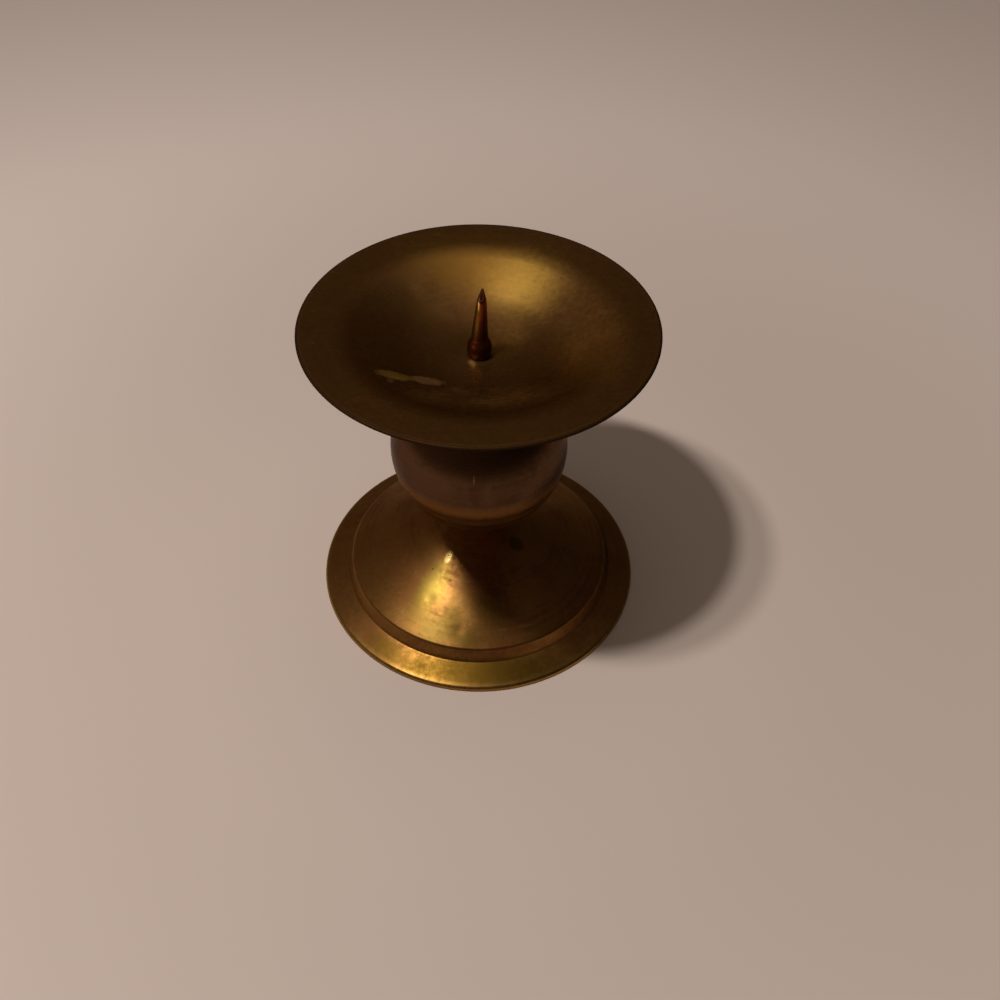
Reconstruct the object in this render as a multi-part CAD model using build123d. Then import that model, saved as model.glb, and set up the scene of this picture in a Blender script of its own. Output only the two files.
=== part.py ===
from build123d import *
import math
import os

# Pricket candle stand: a drip pan with a spike, a hollow ball knop and a spun foot, held by one tie rod.
# Millimetres. Z is the axis of the stand, and the origin is the middle of the foot's bottom edge.
# Every outline is drawn as (radius, height) and turned about Z.

# Foot, one spun sheet, drawn on its outer side
foot_radius = 50.0
foot_wall = 1.0
rim_height = 1.3
step_bottom_radius = 42.3
step_bottom_height = 4.1
step_top_radius = 40.6
step_top_height = 8.0
cone_slope = 28.0
flare_radius = 3.0
neck_radius = 7.4
neck_straight = 1.8
bend_radius = 0.4

# Ball knop, two spun halves lapped and soldered at the equator
knop_radius = 25.7
knop_wall = 1.0
pole_land_radius = 7.0
lap_height = 4.0
lap_clearance = 0.05
seat_clearance = 0.05

# Turned collar between the ball and the pan
collar_height = 6.95
collar_base_radius = 10.0
collar_base_edge = 1.5
collar_waist_radius = 5.2
collar_top_radius = 5.5
collar_top_edge = 1.2

# Drip pan, a spun bowl with a straight side that turns over into a flatter brim
pan_radius = 47.5
pan_wall = 1.0
pan_land_margin = 0.5
pan_hollow_end = 22.5
pan_side_slope = 24.3
pan_crest_start = 33.0
pan_crest_end = 39.0
brim_slope = 5.0

# Pricket, heights counted from the floor of the pan
pricket_height = 20.9
pricket_base_radius = 2.9
swell_radius = 3.3
swell_height = 2.2
shank_radius = 2.3
shank_height = 6.4
taper_radius = 1.3
taper_height = 17.3
taper_blend = 9.0
tip_radius = 0.35
socket_depth = 4.2
socket_end_gap = 0.3
drill_point_angle = 31.0

# Tie rod with a metric 4 mm thread, and what clamps it under the foot
rod_radius = 2.0
rod_chamfer = 0.35
rod_tail = 2.0
rod_clearance = 0.25
thread_clearance = 0.04
washer_radius = 4.5
washer_thickness = 0.8
spring_washer_radius = 3.8
spring_washer_thickness = 1.0
spring_washer_gap = 0.8
spring_washer_slant = 25.0
nut_across_flats = 7.0
nut_height = 3.2
nut_chamfer_angle = 30.0


def height_on_ball(ball_radius, radius):
    """Height above the ball's middle at which a ball of that radius is this wide."""
    return math.sqrt(ball_radius**2 - radius**2)


# Heights and radii that follow from the sizes above
rod_hole_radius = rod_radius + rod_clearance
thread_bore_radius = rod_radius + thread_clearance
seat_radius = knop_radius + seat_clearance
cone_slope_rad = math.radians(cone_slope)
flare_corner_height = step_top_height + (step_top_radius - neck_radius) * math.tan(cone_slope_rad)
flare_tangent = flare_radius * math.tan((math.pi / 2 - cone_slope_rad) / 2)
foot_land_top = flare_corner_height + flare_tangent + neck_straight
foot_land_under = foot_land_top - foot_wall
pole_land_rise = height_on_ball(knop_radius, pole_land_radius)
knop_centre = foot_land_top + pole_land_rise
collar_seat = knop_centre + pole_land_rise
pan_floor = collar_seat + collar_height + pan_wall
spring_washer_top = foot_land_under - washer_thickness
nut_top = spring_washer_top - spring_washer_thickness
rod_bottom = nut_top - nut_height - rod_tail
rod_top = pan_floor + socket_depth - socket_end_gap


def turned(*lines):
    """Solid turned about Z from the closed outline that the lines make."""
    outline = make_face([edge for line in lines for edge in line.edges()])
    return revolve(Plane.XZ * outline, Axis.Z)


def ball_arc(ball_radius, start_radius, end_radius, middle, side):
    """Arc on a ball about the point `middle` on the axis, above it for side 1 and below it for side -1."""
    start_angle = math.asin(start_radius / ball_radius)
    end_angle = math.asin(end_radius / ball_radius)
    angles = (start_angle, (start_angle + end_angle) / 2, end_angle)
    points = [(ball_radius * math.sin(a), middle + side * ball_radius * math.cos(a)) for a in angles]
    return ThreePointArc(*points)


def parallel(points, gap):
    """Corners of the line beside a run of straight lines, to its right at the given gap."""
    corners = [Vector(*point) for point in points]
    headings = [(b - a).normalized() for a, b in zip(corners, corners[1:])]
    normals = [Vector(heading.Y, -heading.X) for heading in headings]
    beside = [corners[0] + normals[0] * gap]
    for corner, before, after in zip(corners[1:], normals, normals[1:]):
        beside.append(corner + (before + after) * (gap / (1 + before.dot(after))))
    beside.append(corners[-1] + normals[-1] * gap)
    return [(corner.X, corner.Y) for corner in beside]


def foot():
    """Rim, flange, step, cone and short neck of one wall, closed by a flat land that carries the ball."""
    outer = [
        (rod_hole_radius, foot_land_top),
        (neck_radius, foot_land_top),
        (neck_radius, flare_corner_height),
        (step_top_radius, step_top_height),
        (step_bottom_radius, step_bottom_height),
        (foot_radius, rim_height),
        (foot_radius, 0),
    ]
    inner = parallel(outer, foot_wall)
    outer_bend = bend_radius + foot_wall
    inner_flare = flare_radius + foot_wall
    return turned(
        FilletPolyline(*outer, radius=[outer_bend, flare_radius, outer_bend, bend_radius, outer_bend]),
        Line(outer[-1], inner[-1]),
        FilletPolyline(*inner[::-1], radius=[bend_radius, outer_bend, bend_radius, inner_flare, bend_radius]),
        Line(inner[0], outer[0]),
    )


def knop_half_shell(side, seam_lines, seam_radius):
    """Half ball of one wall with a flat land and a rod hole at its pole, closed by the given seam lines."""
    inner_radius = knop_radius - knop_wall
    land_rise = side * pole_land_rise
    land_inside = side * (pole_land_rise - knop_wall)
    land_inside_radius = height_on_ball(inner_radius, pole_land_rise - knop_wall)
    half = turned(
        ball_arc(knop_radius, knop_radius, pole_land_radius, 0, side),
        Line((pole_land_radius, land_rise), (rod_hole_radius, land_rise)),
        Line((rod_hole_radius, land_rise), (rod_hole_radius, land_inside)),
        Line((rod_hole_radius, land_inside), (land_inside_radius, land_inside)),
        ball_arc(inner_radius, land_inside_radius, seam_radius, 0, side),
        *seam_lines,
    )
    return Pos(0, 0, knop_centre) * half


def knop_upper_half():
    """Upper half ball, with a plain edge at the equator."""
    inner_radius = knop_radius - knop_wall
    edge = Line((inner_radius, 0), (knop_radius, 0))
    return knop_half_shell(1, [edge], inner_radius)


def knop_lower_half():
    """Lower half ball, with a spigot that laps inside the upper half."""
    inner_radius = knop_radius - knop_wall
    spigot_radius = height_on_ball(inner_radius, lap_height) - lap_clearance
    spigot_bore = spigot_radius - knop_wall
    spigot = Polyline(
        (spigot_bore, -height_on_ball(inner_radius, spigot_bore)),
        (spigot_bore, lap_height),
        (spigot_radius, lap_height),
        (spigot_radius, 0),
        (knop_radius, 0),
    )
    return knop_half_shell(-1, [spigot], spigot_bore)


def pan_collar():
    """Waisted collar with a dished underside that sits on the ball's upper pole."""
    skirt_start = height_on_ball(seat_radius, pole_land_rise)
    skirt_end = height_on_ball(seat_radius, collar_base_radius) - pole_land_rise
    waist_bottom = skirt_end + collar_base_edge
    waist_top = collar_height - collar_top_edge
    collar = turned(
        Line((rod_hole_radius, 0), (skirt_start, 0)),
        ball_arc(seat_radius, skirt_start, collar_base_radius, -pole_land_rise, 1),
        Line((collar_base_radius, skirt_end), (collar_base_radius, waist_bottom)),
        ThreePointArc(
            (collar_base_radius, waist_bottom),
            (collar_waist_radius, (waist_bottom + waist_top) / 2),
            (collar_top_radius, waist_top),
        ),
        Line((collar_top_radius, waist_top), (collar_top_radius, collar_height)),
        Line((collar_top_radius, collar_height), (rod_hole_radius, collar_height)),
        Line((rod_hole_radius, collar_height), (rod_hole_radius, 0)),
    )
    return Pos(0, 0, collar_seat) * collar


def drip_pan():
    """Bowl of one wall: flat land, hollow arc, straight side, crest arc, straight brim and a rounded edge."""
    side = math.radians(pan_side_slope)
    brim = math.radians(brim_slope)
    land_radius = collar_top_radius + pan_land_margin
    edge_radius = pan_wall / 2
    brim_end = pan_radius - edge_radius * (1 + math.sin(brim))
    brim_width = brim_end - pan_crest_end
    hollow_radius = (pan_hollow_end - land_radius) / math.sin(side)
    side_rise = (pan_crest_start - pan_hollow_end) * math.tan(side)
    crest_radius = (pan_crest_end - pan_crest_start) / (math.sin(side) - math.sin(brim))
    crest_middle_radius = pan_crest_start + crest_radius * math.sin(side)
    crest_middle_height = hollow_radius + side_rise - (hollow_radius + crest_radius) * math.cos(side)

    def hollow(radius, slope):
        return (land_radius + radius * math.sin(slope), hollow_radius - radius * math.cos(slope))

    def crest(radius, slope):
        return (
            crest_middle_radius - radius * math.sin(slope),
            crest_middle_height + radius * math.cos(slope),
        )

    def rim(radius):
        start = crest(radius, brim)
        return (start[0] + brim_width, start[1] + brim_width * math.tan(brim))

    def hollow_arc(radius):
        return ThreePointArc(hollow(radius, 0), hollow(radius, side / 2), hollow(radius, side))

    def crest_arc(radius):
        return ThreePointArc(crest(radius, side), crest(radius, (side + brim) / 2), crest(radius, brim))

    hollow_under = hollow_radius + pan_wall
    crest_under = crest_radius - pan_wall
    edge_middle = rim(crest_radius - edge_radius)
    edge_tip = (edge_middle[0] + edge_radius * math.cos(brim), edge_middle[1] + edge_radius * math.sin(brim))
    pan = turned(
        Line((rod_hole_radius, -pan_wall), (rod_hole_radius, 0)),
        Line((rod_hole_radius, 0), (land_radius, 0)),
        hollow_arc(hollow_radius),
        Line(hollow(hollow_radius, side), crest(crest_radius, side)),
        crest_arc(crest_radius),
        Line(crest(crest_radius, brim), rim(crest_radius)),
        ThreePointArc(rim(crest_radius), edge_tip, rim(crest_under)),
        Line(rim(crest_under), crest(crest_under, brim)),
        crest_arc(crest_under),
        Line(crest(crest_under, side), hollow(hollow_under, side)),
        hollow_arc(hollow_under),
        Line((land_radius, -pan_wall), (rod_hole_radius, -pan_wall)),
    )
    return Pos(0, 0, pan_floor) * pan


def pricket():
    """Spike with a swollen base, tapped from below for the tie rod."""
    tip_middle = pricket_height - tip_radius
    drill_point = socket_depth + thread_bore_radius * math.tan(math.radians(drill_point_angle))
    swell = ThreePointArc(
        (pricket_base_radius, 0), (swell_radius, swell_height), (pricket_base_radius, 2 * swell_height)
    )
    spike = turned(
        Line((thread_bore_radius, 0), (pricket_base_radius, 0)),
        swell,
        TangentArc((pricket_base_radius, 2 * swell_height), (shank_radius, shank_height), tangent=swell % 1),
        FilletPolyline(
            (shank_radius, shank_height),
            (taper_radius, taper_height),
            (tip_radius, tip_middle),
            radius=[taper_blend],
        ),
        ball_arc(tip_radius, tip_radius, 0, tip_middle, 1),
        Line((0, pricket_height), (0, drill_point)),
        Line((0, drill_point), (thread_bore_radius, socket_depth)),
        Line((thread_bore_radius, socket_depth), (thread_bore_radius, 0)),
    )
    return Pos(0, 0, pan_floor) * spike


def tie_rod():
    """Rod at the major diameter of its thread, chamfered at both ends."""
    rod = Pos(0, 0, rod_bottom) * extrude(Circle(rod_radius), rod_top - rod_bottom)
    return chamfer(rod.edges().filter_by(GeomType.CIRCLE), rod_chamfer)


def washer(radius, bore, thickness, top):
    """Flat ring whose upper face lies at the given height."""
    return Pos(0, 0, top - thickness) * extrude(Circle(radius) - Circle(bore), thickness)


def foot_washer():
    """Plain washer against the underside of the foot's land."""
    return washer(washer_radius, rod_hole_radius, washer_thickness, foot_land_under)


def spring_washer():
    """Split washer, drawn flat by the nut, with a slanted gap."""
    ring = washer(spring_washer_radius, rod_hole_radius, spring_washer_thickness, spring_washer_top)
    middle = spring_washer_top - spring_washer_thickness / 2
    gap_box = Box(spring_washer_radius, spring_washer_gap, spring_washer_thickness * 3)
    gap = Pos(rod_hole_radius + spring_washer_radius / 2 - rod_clearance, 0, middle)
    return ring - gap * Rot(spring_washer_slant, 0, 0) * gap_box


def clamp_nut():
    """Hexagon nut with its corners turned down at both faces."""
    corner_radius = nut_across_flats / math.sqrt(3)
    flat_radius = nut_across_flats / 2
    drop = (corner_radius - flat_radius) * math.tan(math.radians(nut_chamfer_angle))
    prism = extrude(RegularPolygon(corner_radius, 6), nut_height)
    barrel = turned(
        Polyline(
            (0, 0),
            (flat_radius, 0),
            (corner_radius, drop),
            (corner_radius, nut_height - drop),
            (flat_radius, nut_height),
            (0, nut_height),
            (0, 0),
        )
    )
    nut = prism & barrel
    nut -= extrude(Circle(thread_bore_radius), nut_height)
    return Pos(0, 0, nut_top - nut_height) * nut


pieces = {
    "foot": foot(),
    "knop_lower_half": knop_lower_half(),
    "knop_upper_half": knop_upper_half(),
    "pan_collar": pan_collar(),
    "drip_pan": drip_pan(),
    "pricket": pricket(),
    "tie_rod": tie_rod(),
    "foot_washer": foot_washer(),
    "spring_washer": spring_washer(),
    "clamp_nut": clamp_nut(),
}

os.makedirs("parts", exist_ok=True)
for name, piece in pieces.items():
    export_step(piece, f"parts/{name}.step")
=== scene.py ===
"""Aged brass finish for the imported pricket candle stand, lit by two lamps and a ceiling light.

Sizes in the classes are millimetres, and meshes are metres. Nearly every piece is an outline
in the (radius, height) plane carried round the Z axis. An outline is an array of (radius,
height) rows, traced anticlockwise so that the faces point outwards.
"""

import logging
import math
from collections.abc import Sequence
from dataclasses import dataclass
from enum import Enum

import bpy
import numpy as np
from mathutils import Matrix, Vector


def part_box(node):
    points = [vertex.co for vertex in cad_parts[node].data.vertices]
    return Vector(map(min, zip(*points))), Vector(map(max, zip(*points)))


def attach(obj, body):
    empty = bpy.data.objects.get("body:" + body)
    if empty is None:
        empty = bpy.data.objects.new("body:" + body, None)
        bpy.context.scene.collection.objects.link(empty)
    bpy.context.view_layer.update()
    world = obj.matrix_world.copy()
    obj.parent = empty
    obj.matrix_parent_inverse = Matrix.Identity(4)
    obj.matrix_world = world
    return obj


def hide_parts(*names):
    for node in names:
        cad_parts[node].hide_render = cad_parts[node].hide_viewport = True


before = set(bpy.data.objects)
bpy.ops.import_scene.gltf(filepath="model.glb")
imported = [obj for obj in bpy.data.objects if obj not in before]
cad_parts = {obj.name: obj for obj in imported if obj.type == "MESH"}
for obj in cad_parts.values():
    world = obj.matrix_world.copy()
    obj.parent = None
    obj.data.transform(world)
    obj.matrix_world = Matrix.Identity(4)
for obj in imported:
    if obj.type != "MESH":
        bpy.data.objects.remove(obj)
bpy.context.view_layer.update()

log = logging.getLogger("candle_stand")

METRES_PER_MM = 0.001
LAMP_TINT = (1.0, 0.94, 0.87)
SAME_POINT = 1e-6
SAME_ROW = 1e-4
ROD_HOLE_RADIUS = 2.25
HOLE_EDGE_RADIUS = 0.15
LOOKS_DOWN = -0.2

Point = tuple[float, float, float]
Colour = tuple[float, float, float]
Station = tuple[float, float]
Span = tuple[float, float]
Socket = bpy.types.NodeSocket
Feed = Socket | float | tuple


class Body(Enum):
    """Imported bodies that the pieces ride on."""

    STAND = "stand"
    PRICKET = "pricket"
    TIE = "tie"


class Slot(Enum):
    """Material slots of the record."""

    FOOT = "foot_brass"
    KNOP = "knop_brass"
    PAN = "pan_brass"
    TURNED = "turned_brass"
    FIXING = "fixing_steel"


class LampShape(Enum):
    """Outlines of the area lamps."""

    ROUND = "DISK"
    SQUARE = "SQUARE"


@dataclass(frozen=True)
class Levels:
    """Heights on the axis that several pieces share, in millimetres."""

    foot_land: float
    ball_middle: float
    pan_floor: float
    rod_bottom: float
    rod_top: float

    @classmethod
    def from_frame(cls) -> "Levels":
        """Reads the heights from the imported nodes.

        Returns:
            The heights of the foot's land, the ball's seam, the pan's floor and the rod's ends.
        """
        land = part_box("foot")[1].z
        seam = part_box("knop_upper_half")[0].z
        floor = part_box("pricket")[0].z
        rod_low, rod_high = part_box("tie_rod")
        heights = (land, seam, floor, rod_low.z, rod_high.z)
        return cls(*(height / METRES_PER_MM for height in heights))


def arc(middle: Station, radius: float, start: float, end: float, steps: int) -> np.ndarray:
    """Points on a circle: the middle plus the radius times the cosine and sine of each angle.

    Args:
        middle: centre of the circle as (radius, height).
        radius: radius of the circle.
        start: first angle, in degrees from the outward direction.
        end: last angle, in degrees.
        steps: number of points.

    Returns:
        The points in order.
    """
    angle = np.radians(np.linspace(start, end, steps))
    return np.array(middle) + radius * np.stack((np.cos(angle), np.sin(angle)), axis=-1)


def unit(vectors: np.ndarray) -> np.ndarray:
    """Scales each row to length one."""
    return vectors / np.linalg.norm(vectors, axis=-1, keepdims=True)


def eased(corners: Sequence[Station], radii: Sequence[float], steps: int) -> np.ndarray:
    """Straight runs whose inner corners are rounded.

    Half the angle between the two runs at a corner is h. The round's middle lies on the line
    that halves the corner, the radius over sin h away. Its two ends lie the radius over tan h
    along each run, and the arc turns evenly from one end to the other.

    Args:
        corners: the runs' corners, with the two ends first and last.
        radii: radius of the round at each corner between the ends.
        steps: points in each round.

    Returns:
        The points in order.
    """
    points = np.array(corners, float)
    radius = np.array(radii, float)[:, None]
    here = points[1:-1]
    back = unit(points[:-2] - here)
    ahead = unit(points[2:] - here)
    half = np.arccos(np.clip((back * ahead).sum(-1, keepdims=True), -1, 1)) / 2
    middle = here + unit(back + ahead) * radius / np.sin(half)
    first = here + back * radius / np.tan(half) - middle
    last = here + ahead * radius / np.tan(half) - middle
    turn = (math.pi - 2 * half)[:, None]
    share = np.linspace(0, 1, steps)[None, :, None]
    rounds = np.sin((1 - share) * turn) * first[:, None] + np.sin(share * turn) * last[:, None]
    arcs = middle[:, None] + rounds / np.sin(turn)
    return np.vstack((points[:1], arcs.reshape(-1, 2), points[-1:]))


def beside(corners: Sequence[Station], gap: float) -> list[Station]:
    """Corners of the line to the left of a run of straight lines, mitred at its corners.

    Args:
        corners: corners of the run.
        gap: distance between the two lines.

    Returns:
        The corners of the line beside it.
    """
    points = np.array(corners, float)
    heading = unit(np.diff(points, axis=0))
    normal = np.stack((-heading[:, 1], heading[:, 0]), axis=-1)
    before = np.vstack((normal[:1], normal))
    after = np.vstack((normal, normal[-1:]))
    mitre = (before + after) / (1 + (before * after).sum(-1, keepdims=True))
    return [tuple(row) for row in points + gap * mitre]


def filled(points: np.ndarray, spacing: float = 0.9) -> np.ndarray:
    """Adds points along an outline so that none lie much further apart than the spacing.

    Args:
        points: the outline.
        spacing: largest gap, in millimetres.

    Returns:
        The outline with its own points and the added ones, in order.
    """
    step = np.linalg.norm(np.diff(points, axis=0), axis=-1)
    apart = step > SAME_POINT
    points = points[np.concatenate(([True], apart))]
    run = np.concatenate(([0.0], np.cumsum(step[apart])))
    even = np.linspace(0, run[-1], max(2, math.ceil(run[-1] / spacing) + 1))
    gap = np.abs(even[:, None] - run[None, :]).min(axis=1)
    stations = np.sort(np.concatenate((run, even[gap > spacing / 3])))
    return np.stack([np.interp(stations, run, points[:, axis]) for axis in (0, 1)], axis=-1)


def nearness(points: np.ndarray, spots: Sequence[Station], reach: float) -> np.ndarray:
    """How near each point is to the nearest spot: e to the minus square of distance over reach.

    Args:
        points: rows of (radius, height).
        spots: places to be near to, if any.
        reach: distance at which the value has fallen to about a third.

    Returns:
        One value from 0 to 1 for each point.
    """
    if not spots:
        return np.zeros(len(points))
    offset = points[:, None] - np.array(spots, float)[None]
    return np.exp(-((offset**2).sum(-1) / reach**2)).max(axis=1)


@dataclass(frozen=True)
class Strip:
    """A stretch of an outline and how much it is darkened, from 0 to 1: soiling on some stretches, painted
    shade on others.
    """

    points: np.ndarray
    grime_and_shade: float = 0.0


@dataclass(frozen=True)
class Dent:
    """A shallow dent seen from above: its place, depth and size in millimetres."""

    x: float
    y: float
    depth: float
    size: float


@dataclass
class Surface:
    """A grid of points round the Z axis, with the shades that a finish reads.

    Attributes:
        points: rows along the outline, each with the points round the axis, in millimetres.
        shades: values along the outline: its run in millimetres, and from 0 to 1 its wear and painted sheen,
            and its soiling and painted shade.
        looped: True where the outline comes back to its start, and False where both ends lie
            on the axis.
    """

    points: np.ndarray
    shades: dict[str, np.ndarray]
    looped: bool = True

    def dent(self, dents: Sequence[Dent]) -> None:
        """Lowers the surface by each dent's depth times e to the minus square of distance over size.

        Args:
            dents: the dents, each on both sides of the sheet.
        """
        for dent in dents:
            away = (self.points[..., 0] - dent.x) ** 2 + (self.points[..., 1] - dent.y) ** 2
            self.points[..., 2] -= dent.depth * np.exp(-away / dent.size**2)

    def mesh(self, name: str) -> bpy.types.Mesh:
        """Puts the grid into a mesh, with each shade as an attribute.

        Args:
            name: name of the mesh.

        Returns:
            The closed mesh, smooth shaded.
        """
        rows, columns = self.points.shape[:2]
        if self.looped:
            vertices = self.points.reshape(-1, 3)
            ring = np.arange(rows * columns).reshape(rows, columns)
            below, above = ring, np.roll(ring, -1, axis=0)
            fans = []
            shade_rows = np.repeat(np.arange(rows), columns)
        else:
            sides = self.points[1:-1].reshape(-1, 3)
            vertices = np.vstack((self.points[0, :1], sides, self.points[-1, :1]))
            ring = 1 + np.arange((rows - 2) * columns).reshape(rows - 2, columns)
            below, above = ring[:-1], ring[1:]
            start, end = np.zeros(columns, int), np.full(columns, len(vertices) - 1)
            fans = np.stack((start, np.roll(ring[0], -1), ring[0]), axis=-1).tolist()
            fans += np.stack((ring[-1], np.roll(ring[-1], -1), end), axis=-1).tolist()
            shade_rows = np.concatenate(([0], np.repeat(np.arange(1, rows - 1), columns), [rows - 1]))
        quads = np.stack((below, np.roll(below, -1, 1), np.roll(above, -1, 1), above), axis=-1)
        mesh = bpy.data.meshes.new(name)
        mesh.from_pydata((vertices * METRES_PER_MM).tolist(), [], quads.reshape(-1, 4).tolist() + fans)
        mesh.polygons.foreach_set("use_smooth", np.ones(len(mesh.polygons), bool))
        for shade, values in self.shades.items():
            attribute = mesh.attributes.new(shade, "FLOAT", "POINT")
            attribute.data.foreach_set("value", values[shade_rows].astype(np.float32))
        mesh.update()
        return mesh


def turned(
    strips: Sequence[Strip],
    sides: int,
    looped: bool = True,
    polished_and_sheen: Sequence[Station] = (),
    polish_and_sheen_reach: float = 0.9,
    corners: Sequence[Station] = (),
    corner_darkening_reach: float = 1.3,
) -> Surface:
    """Sweeps an outline: each row's radius times cosine and sine of the angle, at the row's height.

    Args:
        strips: stretches of the outline, in order.
        sides: number of points round the axis.
        looped: True where the outline comes back to its start.
        polished_and_sheen: places on the outline that are made brighter: worn by hands on the foot's rim,
            and a painted reflection of the lit foot on the ball's lower half.
        polish_and_sheen_reach: how far the brightening spreads, in millimetres.
        corners: inside corners of the outline, near which it is darkened.
        corner_darkening_reach: how far that darkening spreads, in millimetres.

    Returns:
        The surface.
    """
    rows = [filled(strip.points) for strip in strips]
    outline = np.vstack(rows)
    grime_and_shade = np.concatenate([np.full(len(row), strip.grime_and_shade) for row, strip in zip(rows, strips)])
    step = np.linalg.norm(np.diff(outline, axis=0), axis=-1)
    keep = np.concatenate(([True], step > SAME_ROW))
    keep[-1] &= not looped or np.linalg.norm(outline[-1] - outline[0]) > SAME_ROW
    outline = outline[keep]
    angle = np.arange(sides) * (2 * math.pi / sides)
    radius = outline[:, :1]
    height = outline[:, 1:] + 0 * angle
    points = np.stack((radius * np.cos(angle), radius * np.sin(angle), height), axis=-1)
    step = np.linalg.norm(np.diff(outline, axis=0), axis=-1)
    shades = {
        "run": np.concatenate(([0.0], np.cumsum(step))),
        "polish_and_sheen": nearness(outline, polished_and_sheen, polish_and_sheen_reach),
        "grime_and_shade": np.maximum(grime_and_shade[keep], nearness(outline, corners, corner_darkening_reach)),
    }
    return Surface(points, shades, looped)


def seat(mesh: bpy.types.Mesh, body: Body, slot: Slot, *nodes: str) -> bpy.types.Object:
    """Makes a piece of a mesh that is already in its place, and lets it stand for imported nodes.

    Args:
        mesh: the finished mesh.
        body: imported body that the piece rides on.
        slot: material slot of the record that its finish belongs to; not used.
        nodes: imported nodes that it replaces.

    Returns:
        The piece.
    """
    piece = bpy.data.objects.new(mesh.name, mesh)
    bpy.context.scene.collection.objects.link(piece)
    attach(piece, body.value)
    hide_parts(*nodes)
    log.info("%s: %d faces, rides on %s", piece.name, len(mesh.polygons), body.value)
    return piece


def opaque(colour: Colour) -> tuple[float, float, float, float]:
    """The colour with an alpha of one."""
    return (*colour, 1.0)


class Bench:
    """Short calls that lay out the nodes of one material."""

    def __init__(self, name: str) -> None:
        """Starts a material.

        Args:
            name: name of the material.
        """
        self.material = bpy.data.materials.new(name)
        self.material.use_nodes = True
        self.tree = self.material.node_tree
        self.shader = self.tree.nodes["Principled BSDF"]

    def feed(self, socket: Socket, value: Feed) -> None:
        """Links another node's output to a socket, or sets the socket's own value.

        Args:
            socket: the input socket.
            value: the output to link, or the value to set.
        """
        if isinstance(value, Socket):
            self.tree.links.new(value, socket)
        else:
            socket.default_value = value

    def finish(self, inputs: dict[str, Feed]) -> None:
        """Feeds the shader's inputs.

        Args:
            inputs: what each input gets, by its name.
        """
        for name, value in inputs.items():
            self.feed(self.shader.inputs[name], value)

    def node(self, kind: str, settings: dict[str, str], inputs: dict[str | int, Feed]) -> bpy.types.Node:
        """Adds a node.

        Args:
            kind: end of the node's type name, after ShaderNode.
            settings: properties to set on it.
            inputs: what each input socket gets, by name or place.

        Returns:
            The node.
        """
        node = self.tree.nodes.new("ShaderNode" + kind)
        for name, value in settings.items():
            setattr(node, name, value)
        for name, value in inputs.items():
            self.feed(node.inputs[name], value)
        return node

    def millimetres(self) -> Socket:
        """Object coordinates in millimetres."""
        place = {0: self.node("TexCoord", {}, {}).outputs["Object"], "Scale": 1 / METRES_PER_MM}
        return self.node("VectorMath", {"operation": "SCALE"}, place).outputs[0]

    def length(self, vector: Feed) -> Socket:
        """Length of a vector."""
        return self.node("VectorMath", {"operation": "LENGTH"}, {0: vector}).outputs["Value"]

    def outside(self) -> Socket:
        """1 on faces that look up or sideways, and 0 on those that look down."""
        normal = self.node("TexCoord", {}, {}).outputs["Normal"]
        return self.between(self.node("SeparateXYZ", {}, {0: normal}).outputs["Z"], LOOKS_DOWN, 0.0)

    def shade(self, name: str) -> Socket:
        """One of the shades that a turned surface carries."""
        return self.node("Attribute", {"attribute_name": name}, {}).outputs["Fac"]

    def math(self, operation: str, first: Feed, second: Feed = 0.0, third: Feed = 0.0) -> Socket:
        """Result of a Math node."""
        return self.node("Math", {"operation": operation}, {0: first, 1: second, 2: third}).outputs[0]

    def times(self, first: Feed, second: Feed) -> Socket:
        """Product of two values."""
        return self.math("MULTIPLY", first, second)

    def added(self, base: Feed, pattern: Feed, amount: Feed) -> Socket:
        """The base plus an amount times the pattern."""
        return self.math("MULTIPLY_ADD", pattern, amount, base)

    def swung(self, base: Feed, pattern: Feed, amount: Feed) -> Socket:
        """The base plus an amount times the pattern's rise over one half, its middle value."""
        return self.added(base, self.math("SUBTRACT", pattern, 0.5), amount)

    def between(self, value: Feed, low: float, high: float, start: float = 0.0, end: float = 1.0) -> Socket:
        """Eases from start to end as the value goes from low to high, and stays there outside."""
        inputs = {"Value": value, "From Min": low, "From Max": high, "To Min": start, "To Max": end}
        return self.node("MapRange", {"interpolation_type": "SMOOTHSTEP"}, inputs).outputs[0]

    def mix(self, share: Feed, first: Feed, second: Feed) -> Socket:
        """First colour where the share is 0, and second where it is 1."""
        return self.node("Mix", {"data_type": "RGBA"}, {0: share, 6: first, 7: second}).outputs[2]

    def noise(
        self, place: Feed, size: float, detail: float, roughness: float = 0.55, twist: float = 0.0
    ) -> Socket:
        """Cloudy pattern with features of about the given size, in millimetres."""
        grain = {"Scale": 1 / size, "Detail": detail, "Roughness": roughness, "Distortion": twist}
        return self.node("TexNoise", {"noise_dimensions": "3D"}, {"Vector": place, **grain}).outputs[0]

    def stripes(self, along: Feed, pitch: float) -> Socket:
        """Uneven stripes across one direction, about the given pitch apart, in millimetres."""
        inputs = {"W": along, "Scale": 1 / pitch, "Detail": 2.0}
        return self.node("TexNoise", {"noise_dimensions": "1D"}, inputs).outputs[0]

    def relief(self, height: Feed) -> Socket:
        """Normal of a surface with the given height, in millimetres."""
        inputs = {"Strength": 1.0, "Distance": METRES_PER_MM, "Height": height}
        return self.node("Bump", {}, inputs).outputs[0]


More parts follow.
